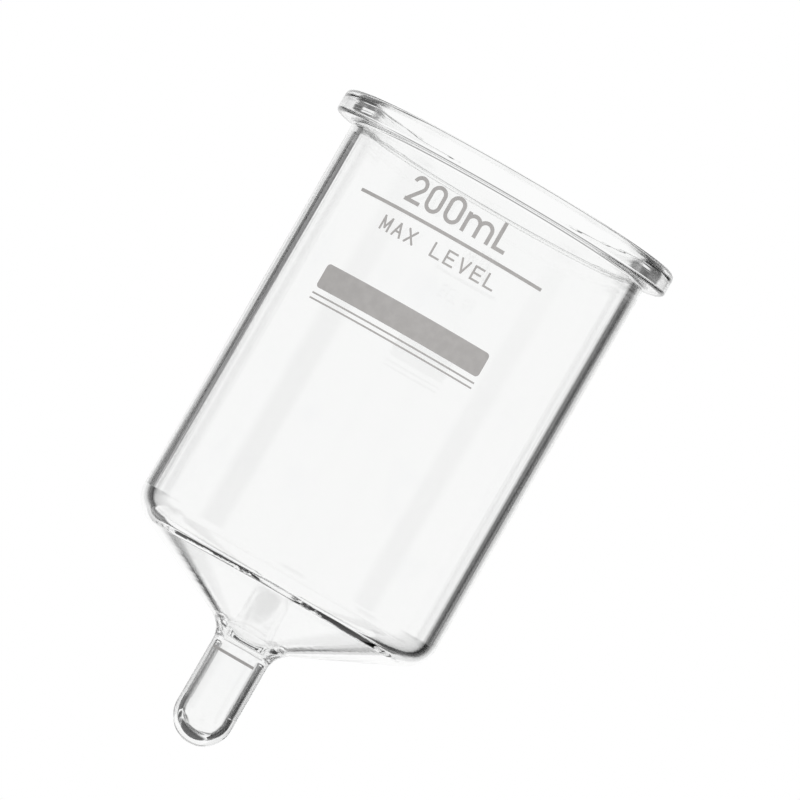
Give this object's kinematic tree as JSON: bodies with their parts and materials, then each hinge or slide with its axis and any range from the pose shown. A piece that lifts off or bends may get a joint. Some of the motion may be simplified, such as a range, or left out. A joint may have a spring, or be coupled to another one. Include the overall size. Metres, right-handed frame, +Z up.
{
  "type": "solvent concentrator cup",
  "caption": "Clear borosilicate glass cup with a flanged rim, straight barrel, shallow coned heel and closed round-ended stem, with fired enamel fill and stem lines.",
  "frame": {"origin": "centre of the flange's underside, the seat face that the cup hangs by", "axes": "+Z up the axis of the cup, out of its mouth; the printing faces -Y and reads along +X"},
  "size_m": [0.0708, 0.0708, 0.1214],
  "materials": {
    "clear_glass": "fire-polished borosilicate",
    "grey_enamel": "matt fired enamel"
  },
  "bodies": {
    "root": {"rim_flange": "clear_glass", "barrel": "clear_glass", "shoulder": "clear_glass", "cone": "clear_glass", "throat": "clear_glass", "stem_tube": "clear_glass", "stem_tip": "clear_glass", "capacity_numerals": "grey_enamel", "fill_line": "grey_enamel", "level_caption": "grey_enamel", "marking_panel": "grey_enamel", "upper_writing_rule": "grey_enamel", "lower_writing_rule": "grey_enamel", "stem_line": "grey_enamel"}
  },
  "joints": []
}
